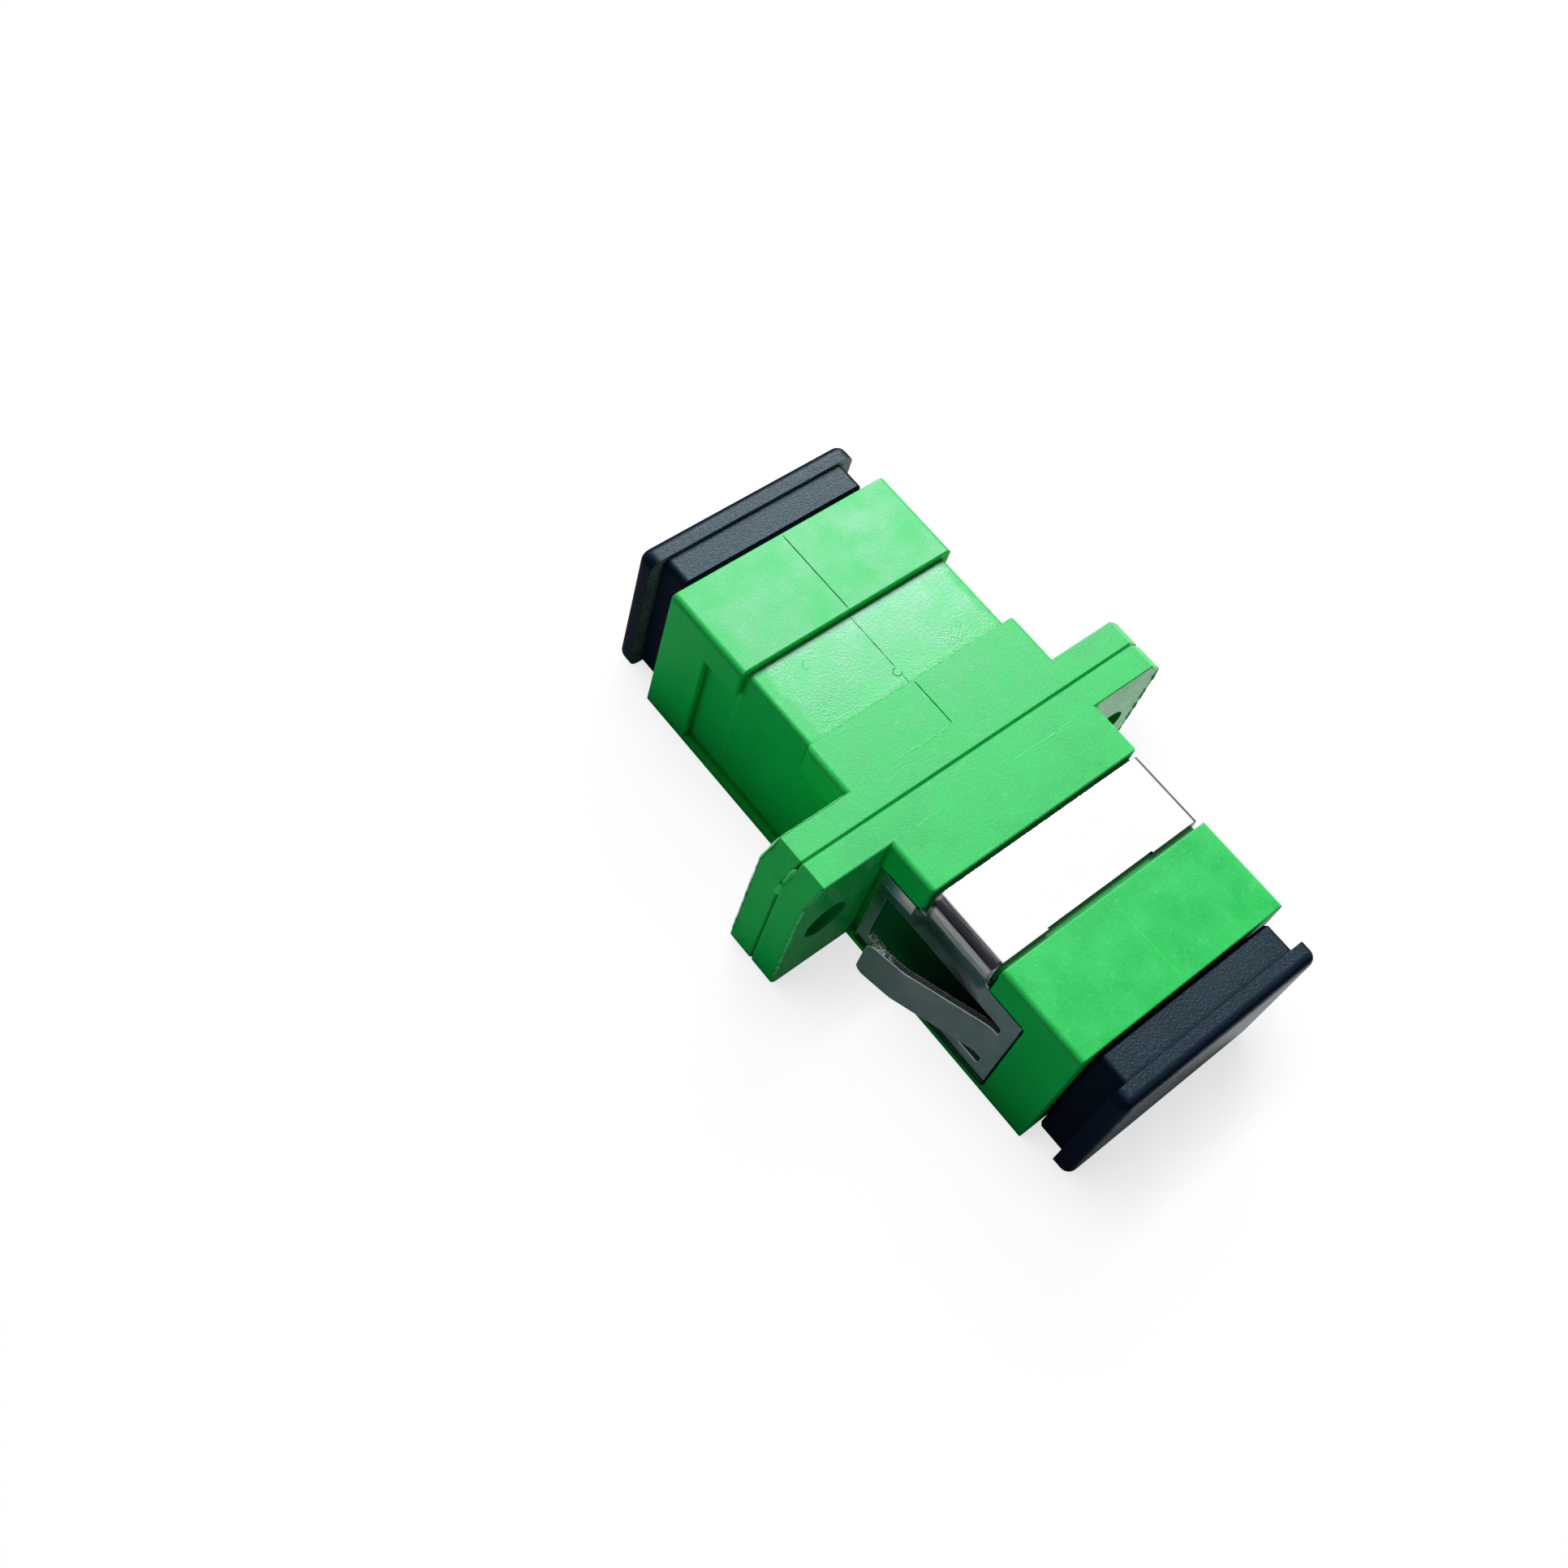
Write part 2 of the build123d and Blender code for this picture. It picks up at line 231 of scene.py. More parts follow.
class Shader:
    """The node tree of a material or a world, with short calls that add and link nodes."""

    def __init__(self, owner, output):
        owner.use_nodes = True
        self.tree = owner.node_tree
        self.tree.nodes.clear()
        self.output = self.add(output)

    def add(self, kind, inputs=None, **settings):
        """A node with its settings, and its sockets set to values or linked to other sockets."""
        node = self.tree.nodes.new(kind)
        for key, value in settings.items():
            setattr(node, key, value)
        for key, value in (inputs or {}).items():
            if isinstance(value, bpy.types.NodeSocket):
                self.tree.links.new(value, node.inputs[key])
            else:
                node.inputs[key].default_value = value
        return node

    def show(self, socket):
        """What the material or world looks like."""
        self.tree.links.new(socket, self.output.inputs["Surface"])

    def math(self, operation, first, second=0.0):
        return self.add("ShaderNodeMath", {0: first, 1: second}, operation=operation).outputs[0]

    def product(self, first, *others):
        for other in others:
            first = self.math("MULTIPLY", first, other)
        return first

    def largest(self, first, *others):
        for other in others:
            first = self.math("MAXIMUM", first, other)
        return first

    def total(self, first, *others):
        for other in others:
            first = self.math("ADD", first, other)
        return first

    def spread(self, value, low, high, start=0.3, end=0.7):
        """Map a value that runs from start to end onto low to high."""
        inputs = {"Value": value, "From Min": start, "From Max": end, "To Min": low, "To Max": high}
        return self.add("ShaderNodeMapRange", inputs).outputs["Result"]

    def window(self, value, low, high, soft):
        """1 where a value lies between low and high, falling smoothly to 0 over soft on either side."""
        rise = {"Value": value, "From Min": low - soft, "From Max": low + soft}
        fall = {"Value": value, "From Min": high + soft, "From Max": high - soft}
        sides = [
            self.add("ShaderNodeMapRange", inputs, interpolation_type="SMOOTHSTEP").outputs["Result"]
            for inputs in (rise, fall)
        ]
        return self.product(*sides)

    def blend(self, factor, first, second):
        """Mix two colours."""
        node = self.add("ShaderNodeMix", data_type="RGBA")
        for index, value in ((0, factor), (6, first), (7, second)):
            if isinstance(value, bpy.types.NodeSocket):
                self.tree.links.new(value, node.inputs[index])
            else:
                node.inputs[index].default_value = value if index == 0 else (*value, 1)
        return node.outputs[2]

    def ramp(self, value, stops):
        """Colours along a value, given as pairs of a value and a colour, blended in between."""
        low, high = stops[0][0], stops[-1][0]
        node = self.add("ShaderNodeValToRGB", {0: self.spread(value, 0.0, 1.0, low, high)})
        elements = node.color_ramp.elements
        for _ in stops[2:]:
            elements.new(0.5)
        for element, (position, colour) in zip(elements, stops):
            element.position = (position - low) / (high - low)
            element.color = (*colour, 1)
        return node.outputs["Color"]


class Surface(Shader):
    """A material's node tree that knows where each face lies, in millimetres, and where it points."""

    def __init__(self, name):
        self.material = bpy.data.materials.new(name)
        super().__init__(self.material, "ShaderNodeOutputMaterial")
        self.place = self.add("ShaderNodeTexCoord").outputs["Object"]
        scaled = self.add("ShaderNodeVectorMath", {0: self.place, "Scale": 1 / MM}, operation="SCALE")
        self.x, self.y, self.z = self.add("ShaderNodeSeparateXYZ", {0: scaled.outputs[0]}).outputs
        self.normal = self.add("ShaderNodeNewGeometry").outputs["Normal"]
        parts = self.add("ShaderNodeSeparateXYZ", {0: self.normal}).outputs
        self.across, self.along, self.upward = parts

    def principled(self, **inputs):
        named = {key.replace("_", " "): value for key, value in inputs.items()}
        self.show(self.add("ShaderNodeBsdfPrincipled", named).outputs["BSDF"])
        return self.material

    def noise(self, size, detail=2.0, roughness=0.5, scale=None):
        """Noise whose features are about size metres wide, and longer along an axis of small scale."""
        place = self.place
        if scale:
            place = self.add("ShaderNodeMapping", {"Vector": place, "Scale": scale}).outputs[0]
        inputs = {"Vector": place, "Scale": 1 / size, "Detail": detail, "Roughness": roughness}
        return self.add("ShaderNodeTexNoise", inputs).outputs["Fac"]

    def cloud(self, size, detail=2.0, roughness=0.5, scale=None):
        """Noise spread over 0 to 1."""
        return self.spread(self.noise(size, detail, roughness, scale), 0.0, 1.0)

    def bump(self, height, depth, normal):
        """Relief of the given depth in metres, laid on top of an earlier one."""
        inputs = {"Height": height, "Distance": depth, "Strength": 1.0, "Normal": normal}
        return self.add("ShaderNodeBump", inputs).outputs["Normal"]

    def rounded(self, radius):
        """Normal with sharp edges rounded off."""
        node = self.add("ShaderNodeBevel", {"Radius": radius}, samples=ROUNDING_SAMPLES)
        return node.outputs["Normal"]

    def edges(self, rounded):
        """1 on the sharp edges, falling to 0 where the rounded normal meets the flat one."""
        same = self.add("ShaderNodeVectorMath", {0: rounded, 1: self.normal}, operation="DOT_PRODUCT")
        return self.spread(same.outputs["Value"], 1.0, 0.0, 0.80, 0.97)

    def gaps(self, reach, closed, opened):
        """1 in gaps and corners narrower than the reach, 0 on open faces.

        Closed and opened are the shares of open sky at which it is 1 and 0.
        """
        sky = self.add("ShaderNodeAmbientOcclusion", {"Distance": reach}, samples=GAP_SAMPLES)
        return self.spread(sky.outputs["AO"], 1.0, 0.0, closed, opened)


# Green plastic

def toned(colour, tone, haze=0.0):
    """A colour made brighter or darker by its tone, and milky by its haze."""
    return tuple(tone * part * (1 - haze) + HAZE_LEVEL * haze for part in colour)


def mottled_green(surface, mottle, speckle, tone, haze):
    """Mottled, speckled and lightly scuffed green, with painted shade that makes the sides deeper than the
    top.
    """
    scuffs = surface.spread(surface.noise(GREEN_SCUFFS, 5.0, 0.75), 0.0, 1.0, 0.56, 0.72)
    cloud = surface.total(surface.product(mottle, 0.5), surface.product(speckle, 0.5))
    colour = surface.blend(cloud, toned(GREEN_DARK, tone, haze), toned(GREEN_PALE, tone, haze))
    colour = surface.blend(surface.product(scuffs, 0.45), colour, toned(GREEN_SCUFFED, tone, haze))
    # Painted shade: faces turned sideways get a deeper, more saturated green than the top.
    sideward = surface.spread(surface.upward, 0.65, 0.0, 0.2, 0.8)
    return surface.blend(sideward, colour, toned(GREEN_SIDE_SHADE, tone, haze))


def rubbed_and_highlit_edges(surface, flange, speckle, rounded):
    """1 in specks on the edges of the flange and of the far port, which carry pale wear and a painted
    highlight.
    """
    outer = surface.largest(flange, surface.math("GREATER_THAN", surface.y, PORT_EDGE - 0.2))
    return surface.product(outer, speckle, surface.edges(rounded))


def shaded_gaps(surface, nearward):
    """Painted shade: 1 in narrow gaps, and much less on the walls beside the clip's strip that face the near
    end.
    """
    pad_wall = surface.product(nearward, surface.window(surface.z, *PAD_WALL_HEIGHT, 0.04))
    gap = surface.gaps(GREEN_GAP_REACH, 0.25, 0.75)
    return surface.product(gap, surface.spread(pad_wall, 1.0, 0.15, 0.0, 1.0))


def shaded_behind_clip(surface, width):
    """1 on the housing's side faces that the clip's plates cover, where shade is painted."""
    return surface.product(
        surface.window(width, *BEHIND_CLIP_ACROSS, 0.03),
        surface.window(surface.y, *BEHIND_CLIP_ALONG, 0.03),
        surface.window(surface.z, *BEHIND_CLIP_HEIGHT, 0.05),
    )


def painted_shade_behind_clip(surface):
    """Painted shade on the green that shows through the clip's windows, darkest at the tongues' roots."""
    root = surface.spread(surface.y, 0.0, 1.0, -3.0, -7.5)
    return surface.blend(root, GREEN_SHADED_BEHIND_TIP, GREEN_SHADED_BEHIND_ROOT)


def screw_holes(surface, width):
    """1 on the walls of the screw holes, where shade is painted."""
    across = surface.math("SUBTRACT", width, HOLE_ACROSS)
    place = surface.add("ShaderNodeCombineXYZ", {0: across, 2: surface.z}).outputs[0]
    centre = (0.0, 0.0, HOLE_HEIGHT)
    distance = surface.add("ShaderNodeVectorMath", {0: place, 1: centre}, operation="DISTANCE")
    return surface.math("LESS_THAN", distance.outputs["Value"], HOLE_REACH)


def polished_recess(surface, mottle):
    """1 on the floor of the recess, within a margin that wavers along its sides."""
    across = surface.total(surface.x, surface.spread(mottle, -0.25, 0.25, 0.0, 1.0))
    return surface.product(
        surface.window(across, *POLISH_ACROSS, 0.15),
        surface.window(surface.y, *POLISH_ALONG, 0.2),
        surface.window(surface.z, *POLISH_HEIGHT, 0.03),
    )


def green_roughness(surface, mottle, near):
    """Satin, but smoother on the floor of the recess and the flange's near face."""
    polish = surface.largest(polished_recess(surface, mottle), near)
    satin = surface.spread(mottle, *GREEN_ROUGHNESS, 0.0, 1.0)
    return surface.math("SUBTRACT", satin, surface.product(polish, GREEN_POLISH))


def green_plastic(name, tone=1.0, haze=0.0, shine=0.34):
    """Bright green moulded plastic: faintly mottled, finely textured, lightly scuffed, with shade painted
    into its gaps, its screw holes and behind the clip.

    The floor of the recess in the rear half is polished, and so is the flange's near face. The sides are
    painted a deeper colour as shade and are duller than the top, and the outer edges are rubbed pale and
    carry a painted highlight.
    """
    surface = Surface(name)
    width = surface.math("ABSOLUTE", surface.x)
    flange = surface.math("GREATER_THAN", width, HALF_BODY + 0.2)
    nearward = surface.spread(surface.along, 1.0, 0.0, -0.95, -0.7)
    near = surface.product(flange, nearward)
    mottle = surface.cloud(GREEN_MOTTLE, 3.0)
    speckle = surface.cloud(GREEN_SPECKLE, 3.0, 0.6)
    rounded = surface.rounded(GREEN_EDGE_RADIUS)
    rubbed = rubbed_and_highlit_edges(surface, flange, speckle, rounded)
    colour = mottled_green(surface, mottle, speckle, tone, haze)
    # Pale edge wear and painted highlight in specks on the flange's and far port's edges.
    colour = surface.blend(rubbed, colour, toned(GREEN_RUBBED_AND_HIGHLIT, tone))
    # Painted shade darkens the narrow gaps and corners.
    colour = surface.blend(shaded_gaps(surface, nearward), colour, toned(GREEN_GAP_SHADE, tone))
    # Painted shade on the housing's sides behind the clip's plates.
    colour = surface.blend(shaded_behind_clip(surface, width), colour, painted_shade_behind_clip(surface))
    # Painted shade inside the screw holes.
    colour = surface.blend(screw_holes(surface, width), colour, GREEN_HOLE_SHADE)
    gloss = surface.spread(surface.upward, 0.1 * shine, shine, 0.2, 0.8)
    wavy = surface.bump(surface.noise(GREEN_WAVES, 1.0), GREEN_WAVE_DEPTH, rounded)
    return surface.principled(
        Base_Color=colour,
        Roughness=green_roughness(surface, mottle, near),
        Normal=surface.bump(speckle, GREEN_SPECKLE_DEPTH, wavy),
        Specular_IOR_Level=surface.largest(near, gloss),
        Specular_Tint=GREEN_TINT,
    )


# Black plastic

def cap_end_sheen(surface, grain, cloud):
    """Painted sheen: a pale grainy reflection on the faces along the optical axis, by grain and cloud,
    weaker on the far ones.
    """
    along = surface.math("ABSOLUTE", surface.along)
    end = surface.product(surface.spread(along, 0.0, 1.0, 0.75, 0.97), grain)
    end = surface.product(end, surface.spread(cloud, 0.55, 1.0, 0.3, 0.7))
    return surface.product(end, surface.spread(surface.along, 1.0, 0.3, -0.9, 0.9))


def cap_shade(surface):
    """Painted shade: 1 on the caps' rounded edges, sides, gaps and the near cap's lip, which are darkest."""
    turned = surface.product(
        surface.window(surface.math("ABSOLUTE", surface.along), 0.35, 0.85, 0.15),
        surface.window(surface.upward, 0.3, 0.95, 0.1),
    )
    sideways = surface.spread(surface.math("ABSOLUTE", surface.across), 0.0, 0.9, 0.2, 0.5)
    gap = surface.gaps(BLACK_GAP_REACH, 0.4, 0.9)
    lip = surface.product(
        surface.window(surface.y, *CAP_LIP_ALONG, 0.12),
        surface.spread(surface.upward, 0.0, 0.75, 0.3, 0.6),
    )
    return surface.largest(turned, sideways, gap, lip)


def black_plastic():
    """Blue-black moulded plastic with a coarse matte grain, a painted sheen on its ends and painted shade on
    its rounded edges, sides, gaps and lip.
    """
    surface = Surface("grained_black")
    grain = surface.cloud(BLACK_GRAIN, 2.0, 0.6)
    cloud = surface.cloud(BLACK_CLOUD)
    end = cap_end_sheen(surface, grain, cloud)
    shade = cap_shade(surface)
    colour = surface.blend(cloud, BLACK_DARK, BLACK_PALE)
    colour = surface.blend(surface.spread(grain, 0.0, 0.6, 0.55, 1.0), colour, BLACK_GRAINED)
    # Painted sheen on the caps' end faces.
    colour = surface.blend(end, colour, BLACK_END_SHEEN)
    # Painted shade on the caps' rounded edges, sides, gaps and lip.
    colour = surface.blend(shade, colour, BLACK_SHADE)
    matte = surface.spread(grain, *BLACK_ROUGHNESS, 0.0, 1.0)
    sheen = surface.total(surface.product(end, 0.9), surface.spread(shade, 0.19, 0.08, 0.0, 1.0))
    return surface.principled(
        Base_Color=colour,
        Roughness=surface.largest(matte, surface.product(shade, BLACK_SHADE_ROUGHNESS)),
        Normal=surface.bump(grain, BLACK_GRAIN_DEPTH, surface.rounded(BLACK_EDGE_RADIUS)),
        Specular_IOR_Level=sheen,
        Specular_Tint=BLACK_TINT,
    )


# Steel and ceramic

def fold_level(surface):
    """Height for the painted reflection bands along the clip's folds, streaked.

    It is raised under the far pad, where the bands so lie lower, and lowered at the strip's near edge,
    where they stop.
    """
    streaks = surface.noise(STEEL_STREAKS, 3.0, scale=(1.0, 0.05, 1.0))
    streaks = surface.spread(streaks, -0.07, 0.07)
    under_pad = surface.spread(surface.y, 0.0, 1.3, -4.7, -3.9)
    near_edge = surface.spread(surface.y, -1.6, 0.0, -8.9, -8.3)
    return surface.total(surface.z, streaks, surface.total(under_pad, near_edge))


def reflection_banded_steel(surface, level, cloud):
    """Grey below, with painted reflections banded along the folds and dark at the tongues' tips."""
    tip = surface.product(
        surface.window(surface.y, *TONGUE_TIP_ALONG, 0.4),
        surface.window(surface.z, *TONGUE_TIP_HEIGHT, 1.0),
    )
    folded = surface.window(level, *FOLD_LEVEL, 0.3)
    colour = surface.blend(cloud, *STEEL_GREY)
    colour = surface.blend(folded, colour, surface.ramp(level, REFLECTION_BAND_STOPS))
    return surface.blend(tip, colour, STEEL_TIP_REFLECTION)


def steel_rim_highlight(surface, cut, burr, rounded):
    """1 on the edges of the plates and tongues, painted as highlights, and in specks on the cut where it
    tore, a burr with a painted highlight.
    """
    rim = surface.product(surface.edges(rounded), surface.window(surface.z, *RIM_HEIGHT, 0.1))
    torn = surface.product(
        cut, surface.window(surface.y, *TORN_ALONG, 0.5), surface.spread(burr, 0.0, 1.0, 0.5, 0.6)
    )
    return surface.largest(rim, torn)


def steel():
    """Rolled stainless sheet: grey below and rough on cut edges, with a painted highlight on the strip,
    painted reflection bands at its folds and painted highlights on its edges.
    """
    surface = Surface("rolled_steel")
    up, z = surface.upward, surface.z
    strip = surface.product(surface.window(up, 0.95, 1.5, 0.03), surface.window(z, *STRIP_HEIGHT, 0.05))
    cut = surface.product(surface.window(up, 0.7, 1.5, 0.15), surface.window(z, *CUT_HEIGHT, 0.1))
    cloud = surface.cloud(STEEL_CLOUD, 3.0)
    burr = surface.cloud(STEEL_BURR, 3.0, 0.7)
    rounded = surface.rounded(STEEL_EDGE_RADIUS)
    rim = steel_rim_highlight(surface, cut, burr, rounded)
    level = fold_level(surface)
    # Painted reflections: bands along the folds and dark tongue tips.
    colour = reflection_banded_steel(surface, level, cloud)
    # Painted highlight: the strip on top is near white, brighter than the same sheet's sides.
    colour = surface.blend(strip, colour, surface.blend(cloud, *STEEL_STRIP_HIGHLIGHT))
    colour = surface.blend(cut, colour, STEEL_CUT)
    # Painted highlight on the edges of the plates and tongues and on the torn cut.
    colour = surface.blend(rim, colour, STEEL_RIM_HIGHLIGHT)
    satin = surface.spread(cloud, *STEEL_ROUGHNESS, 0.0, 1.0)
    smooth = surface.math("SUBTRACT", satin, surface.product(strip, STRIP_POLISH))
    normal = surface.bump(surface.spread(level, 1.0, 0.0, 7.2, 8.25), STEEL_FOLD_DEPTH, rounded)
    normal = surface.bump(surface.cloud(STEEL_LINES, scale=(0.04, 1.0, 1.0)), STEEL_LINE_DEPTH, normal)
    normal = surface.bump(surface.product(cut, burr), STEEL_BURR_DEPTH, normal)
    return surface.principled(
        Base_Color=colour,
        Roughness=surface.largest(smooth, surface.product(rim, RIM_ROUGHNESS)),
        Normal=normal,
        Metallic=1.0,
    )


def ceramic():
    """White polished zirconia with a barely visible cloud."""
    surface = Surface("white_ceramic")
    cloud = surface.cloud(CERAMIC_CLOUD)
    return surface.principled(
        Base_Color=surface.blend(cloud, *CERAMIC_COLOURS),
        Roughness=surface.spread(cloud, *CERAMIC_ROUGHNESS, 0.0, 1.0),
        Normal=surface.rounded(CERAMIC_EDGE_RADIUS),
    )


def dress(material, *names):
    for name in names:
        NODES[name].data.materials.clear()
        NODES[name].data.materials.append(material)


# Moulding marks: thin raised lines, where the mould parts met or plastic was let in, and thin lines of
# painted shade and highlight

def straight(start, end):
    """Places along a line, about one step apart."""
    start, end = Vector(start), Vector(end)
    count = max(2, round((end - start).length / MARK_STEP))
    return [start.lerp(end, step / count) for step in range(count + 1)]


def ring(centre, radius, first, last):
    """Places along an arc on a level face, from one angle in degrees to another."""
    angles = [radians(first + (last - first) * step / RING_STEPS) for step in range(RING_STEPS + 1)]
    return [Vector(centre) + radius * Vector((cos(angle), sin(angle), 0)) for angle in angles]


def raised_line(verts, faces, path, outward, width, height, waver):
    """Add a line with a rounded section that narrows to its ends and wavers along its length."""
    first = len(verts)
    last = len(path) - 1
    points = len(LINE_SECTION)
    for index, point in enumerate(path):
        along = (path[min(index + 1, last)] - path[max(index - 1, 0)]).normalized()
        across = along.cross(outward).normalized()
        ends = min(1.0, LINE_END_WIDTH + index / 2, LINE_END_WIDTH + (last - index) / 2)
        local = max(LINE_LEAST_WIDTH, ends * (1 + waver * noise.noise(point * WAVER_SCALE)))
        drift = noise.noise(point * SHIFT_SCALE + SHIFT_PLACE)
        shifted = point + across * (SHIFT_SHARE * waver * width * drift)
        for side, rise in LINE_SECTION:
            place = shifted + across * (side * width * local) + outward * (rise * height * local)
            verts.append(place * MM)
    for index in range(last):
        for side in range(points - 1):
            corner = first + index * points + side
            faces.append((corner, corner + 1, corner + 1 + points, corner + points))


def make_marks(name, lines, height, material):
    """One piece of raised lines: each has a path, a direction out of the face, a width and a waver."""
    verts, faces = [], []
    for path, outward, width, waver in lines:
        raised_line(verts, faces, path, Vector(outward).normalized(), width, height, waver)
    mesh = bpy.data.meshes.new(name)
    mesh.from_pydata(verts, [], faces)
    mesh.shade_smooth()
    mesh.materials.append(material)
    marks = bpy.data.objects.new(name, mesh)
    bpy.context.scene.collection.objects.link(marks)
    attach(marks, "adapter")


def parting_lines():
    """The line along the middle of the rear half, fainter on the recess floor, and the gate beside it."""
    up = (0, 0, 1)
    return [
        (straight((0, PORT_EDGE - 0.1, CLIP_FACE), (0, BLOCK_EDGE + 0.1, CLIP_FACE)), up, 0.08, 0.3),
        (straight((0, BLOCK_EDGE - 0.1, RECESS_FACE), (0, 5.4, RECESS_FACE)), up, 0.05, 0.8),
        (ring((-0.1, 5.12, RECESS_FACE), 0.22, 60, 350), up, 0.05, 0.4),
        (straight((0, 4.9, RECESS_FACE), (0, PAD_EDGE + 0.05, RECESS_FACE)), up, 0.05, 0.8),
        (straight((0, PAD_EDGE - 0.1, CLIP_FACE), (0, FLANGE_FACE + 0.05, CLIP_FACE)), up, 0.08, 0.3),
    ]


def shadow_gap_lines():
    """Painted shadow: a dark line round the clip's plate on each side, where its gap lies in shade."""
    lines = []
    for side in (-1, 1):
        x = side * HALF_BODY
        corners = (
            ((x, -FLANGE_FACE - 0.4, POCKET_TOP), (x, -PAD_EDGE, POCKET_TOP)),
            ((x, -BLOCK_EDGE, RECESS_FACE), (x, -BLOCK_EDGE, POCKET_TOP)),
            ((x, -BLOCK_EDGE, POCKET_TOP), (x, -POCKET_END, POCKET_TOP)),
            ((x, -POCKET_END, POCKET_TOP), (x, -POCKET_END, POCKET_FOOT)),
            ((x, -POCKET_END, POCKET_FOOT), (x, -FLANGE_FACE - 0.4, POCKET_FOOT)),
        )
        lines += [(straight(*ends), (side, 0, 0), 0.13, 0.3) for ends in corners]
    return lines


def seam_flash():
    """Plastic pressed out of the seam, down the slope at the flange's left end."""
    slope = Vector((-FLANGE_SLOPE, 0, -FLANGE_SLOPE))
    top = Vector((FLANGE_SLOPE - FLANGE_END, -0.03, CLIP_FACE))
    foot = CLIP_FACE - FLANGE_SLOPE
    return [
        (straight(top + slope * 0.28, top + slope), (-1, 0, 1), 0.30, 0.5),
        (straight((-FLANGE_END, 0.0, foot + 0.05), (-FLANGE_END, 0.1, 6.9)), (-1, 0, 0), 0.34, 0.7),
    ]


def worn_and_highlit_edges():
    """Pale edge wear and painted edge highlight round the two ends of the flange, and along the far edge of
    its left top.
    """
    slope_top, foot = FLANGE_END - FLANGE_SLOPE, CLIP_FACE - FLANGE_SLOPE
    level = straight((-slope_top, FLANGE_FACE, CLIP_FACE), (-HALF_BODY, FLANGE_FACE, CLIP_FACE))
    lines = [(level, (0, 1, 1), 0.06, 1.2)]
    for end in (-1, 1):
        for side in (-1, 1):
            y = side * FLANGE_FACE
            slope = straight((end * slope_top, y, CLIP_FACE), (end * FLANGE_END, y, foot))
            upright = straight((end * FLANGE_END, y, foot), (end * FLANGE_END, y, 1.0))
            lines += [(slope, (end, side, 1), 0.12, 1.5), (upright, (end, side, 0), 0.12, 1.5)]
    return lines


def flash_lines():
    """Pale lines where the flange meets the body and along the front half, and small ring marks."""
    up = (0, 0, 1)
    side = (-1, 0, 0)
    far, near = FLANGE_FACE, -FLANGE_FACE
    return [
        (straight((-6.2, far, CLIP_FACE), (-4.4, far, CLIP_FACE)), up, 0.05, 1.2),
        (straight((-4.2, far, CLIP_FACE), (-0.15, far, CLIP_FACE)), up, 0.13, 1.4),
        (straight((0.9, near, CLIP_FACE), (5.0, near, CLIP_FACE)), up, 0.11, 2.2),
        (straight((-5.6, near, CLIP_FACE), (-3.2, near, CLIP_FACE)), up, 0.07, 2.4),
        (straight((-0.05, near, CLIP_FACE), (0.0, -PAD_EDGE, CLIP_FACE)), up, 0.14, 1.2),
        (straight((-0.05, -BLOCK_EDGE - 0.6, CLIP_FACE), (0.0, -PORT_EDGE + 0.1, CLIP_FACE)), up, 0.13, 2.0),
        (straight((-6.1, BLOCK_EDGE, 0.5), (-6.1, BLOCK_EDGE, 7.0)), side, 0.07, 0.8),
        (ring((-4.78, -9.12, CLIP_FACE), 0.16, 0, 300), up, 0.07, 0.6),
        (ring((-4.42, -9.02, CLIP_FACE), 0.15, 60, 360), up, 0.07, 0.6),
        (ring((-3.36, 7.68, RECESS_FACE), 0.26, 20, 250), up, 0.06, 1.0),
        (ring((4.1, 5.54, RECESS_FACE), 0.12, 0, 340), up, 0.06, 0.6),
    ]


# Studio

def seen_rays(shader):
    """1 for rays that show the background: straight from the camera, in gloss and through glass."""
    rays = shader.add("ShaderNodeLightPath").outputs
    return shader.largest(rays["Is Camera Ray"], rays["Is Glossy Ray"], rays["Is Transmission Ray"])


def floor_seen(shader):
    """The floor that the camera sees: nearly white, with shadow where the part stands over it."""
    aim = shader.add("ShaderNodeCombineXYZ", dict(enumerate(CONTACT_SIDE.normalized()))).outputs[0]
    inputs = {"Distance": CONTACT_REACH, "Normal": aim}
    contact = shader.add("ShaderNodeAmbientOcclusion", inputs, samples=CONTACT_SAMPLES).outputs["AO"]
    lift = shader.spread(contact, FLOOR_LIFT * (1 - CONTACT_SHADE), FLOOR_LIFT, 0.0, 1.0)
    lift = shader.add("ShaderNodeEmission", {"Strength": lift}).outputs[0]
    shaded = shader.add("ShaderNodeBsdfDiffuse", {"Color": (FLOOR_SHADED,) * 3 + (1,)}).outputs[0]
    return shader.add("ShaderNodeAddShader", {0: shaded, 1: lift}).outputs[0]


def white_floor():
    """A plain floor for the light that reaches the part, and a bright one for the camera."""
    material = bpy.data.materials.new("white_floor")
    shader = Shader(material, "ShaderNodeOutputMaterial")
    colour = shader.blend(seen_rays(shader), (FLOOR_BOUNCE,) * 3, (FLOOR_COLOUR,) * 3)
    plain = shader.add("ShaderNodeBsdfDiffuse", {"Color": colour}).outputs[0]
    camera = shader.add("ShaderNodeLightPath").outputs["Is Camera Ray"]
    mixed = shader.add("ShaderNodeMixShader", {0: camera, 1: plain, 2: floor_seen(shader)})
    shader.show(mixed.outputs[0])
    return material


def make_floor():
    half = FLOOR_HALF_SIZE
    height = cad_low.z - FLOOR_DROP
    mesh = bpy.data.meshes.new("floor")
    corners = [(-half, -half, height), (half, -half, height), (half, half, height), (-half, half, height)]
    mesh.from_pydata(corners, [], [(0, 1, 2, 3)])
    mesh.materials.append(white_floor())
    floor = bpy.data.objects.new("floor", mesh)
    bpy.context.scene.collection.objects.link(floor)


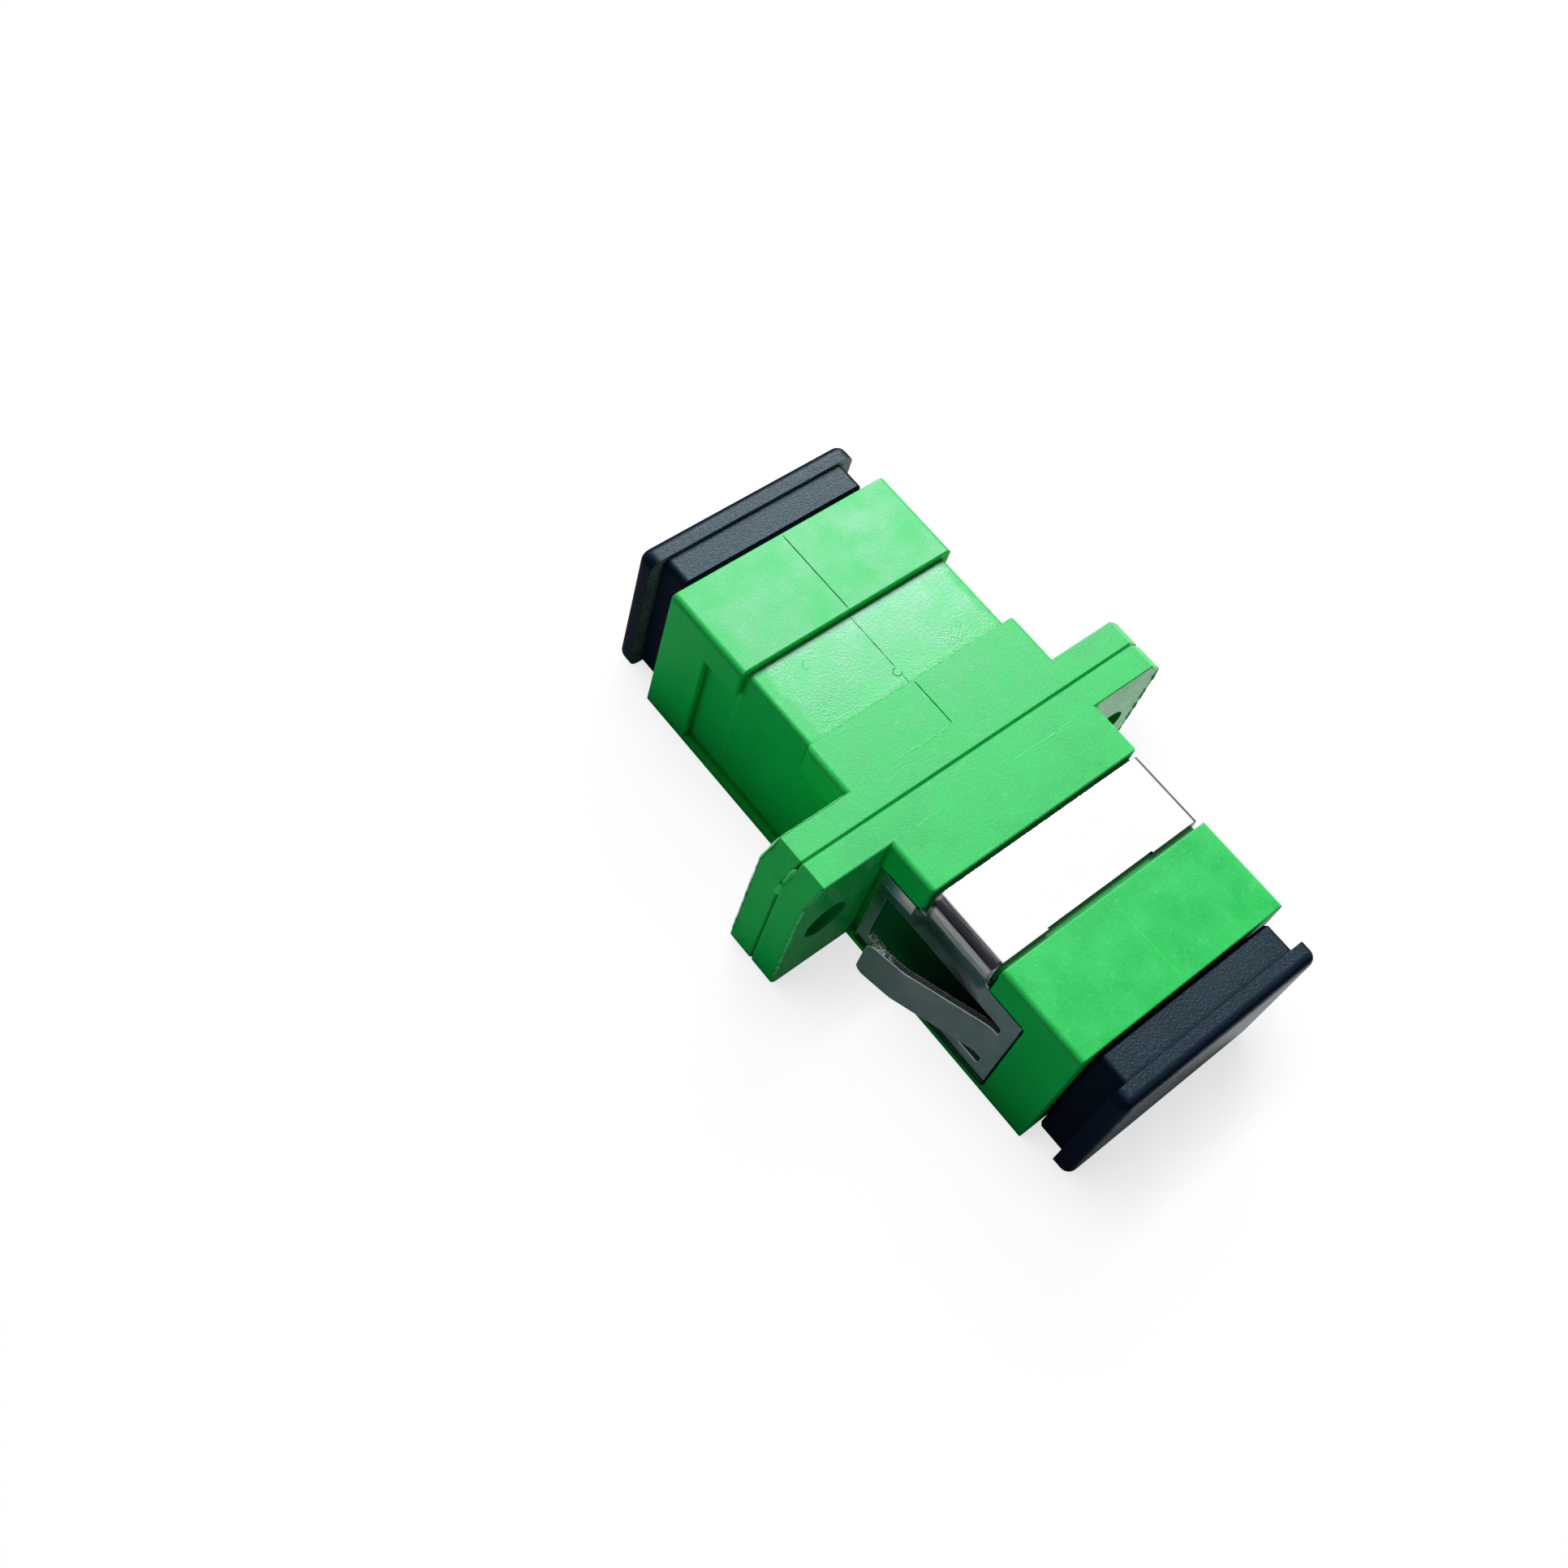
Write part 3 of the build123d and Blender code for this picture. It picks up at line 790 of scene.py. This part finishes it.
def make_sky():
    """A dim sky for the light that it gives, and a white one where it is seen."""
    world = bpy.data.worlds.new("studio")
    shader = Shader(world, "ShaderNodeOutputWorld")
    level = shader.spread(seen_rays(shader), SKY_LEVEL, SKY_SEEN_LEVEL, 0.0, 1.0)
    sky = shader.add("ShaderNodeBackground", {"Color": (1, 1, 1, 1), "Strength": level})
    shader.show(sky.outputs[0])
    bpy.context.scene.world = world


def make_softbox():
    light = bpy.data.lights.new("softbox", "AREA")
    light.shape = "DISK"
    radius = SOFTBOX_DISTANCE * tan(radians(SOFTBOX_HALF_ANGLE))
    light.size = 2 * radius
    light.energy = SOFTBOX_LEVEL * pi * (pi * radius ** 2)
    lamp = bpy.data.objects.new("softbox", light)
    aim = SOFTBOX_AIM.normalized()
    lamp.location = CAMERA_TARGET + aim * SOFTBOX_DISTANCE
    lamp.rotation_mode = "QUATERNION"
    lamp.rotation_quaternion = (-aim).to_track_quat("-Z", "Y")
    bpy.context.scene.collection.objects.link(lamp)


make_camera()
make_floor()
make_sky()
make_softbox()
green = green_plastic("moulded_green")
dress(green, "housing_front", "housing_rear", "latch_insert_front", "latch_insert_rear")
dress(black_plastic(), "dust_cap_front", "dust_cap_rear")
dress(steel(), "mounting_clip")
dress(ceramic(), "split_sleeve")
step_shade_green = green_plastic("moulded_green_step_shade", tone=0.3, shine=0.05)
shadow_gap_green = green_plastic("moulded_green_shadow_gap", tone=0.05, shine=0.05)
pale_green = green_plastic("moulded_green_pale", tone=1.15, haze=0.03, shine=0.2)
flash_green = green_plastic("moulded_green_flash", tone=1.3, haze=0.05, shine=0.2)
worn_and_highlit_green = green_plastic("moulded_green_worn_and_highlit", tone=1.35, haze=0.15, shine=0.2)
# The parting lines are real marks; their darker green is painted shade of their small step.
make_marks("parting_lines", parting_lines(), MARK_HEIGHT, step_shade_green)
# Painted shadow lines round the clip's plates.
make_marks("shadow_gap_lines", shadow_gap_lines(), STAIN_AND_SHADE_HEIGHT, shadow_gap_green)
make_marks("flash_lines", flash_lines(), STAIN_AND_SHADE_HEIGHT, pale_green)
make_marks("seam_flash", seam_flash(), FLASH_HEIGHT, flash_green)
# Pale lines of edge wear and painted highlight on the flange's edges.
make_marks("worn_and_highlit_edges", worn_and_highlit_edges(), STAIN_AND_SHADE_HEIGHT, worn_and_highlit_green)

bpy.context.scene.view_settings.view_transform = "Standard"
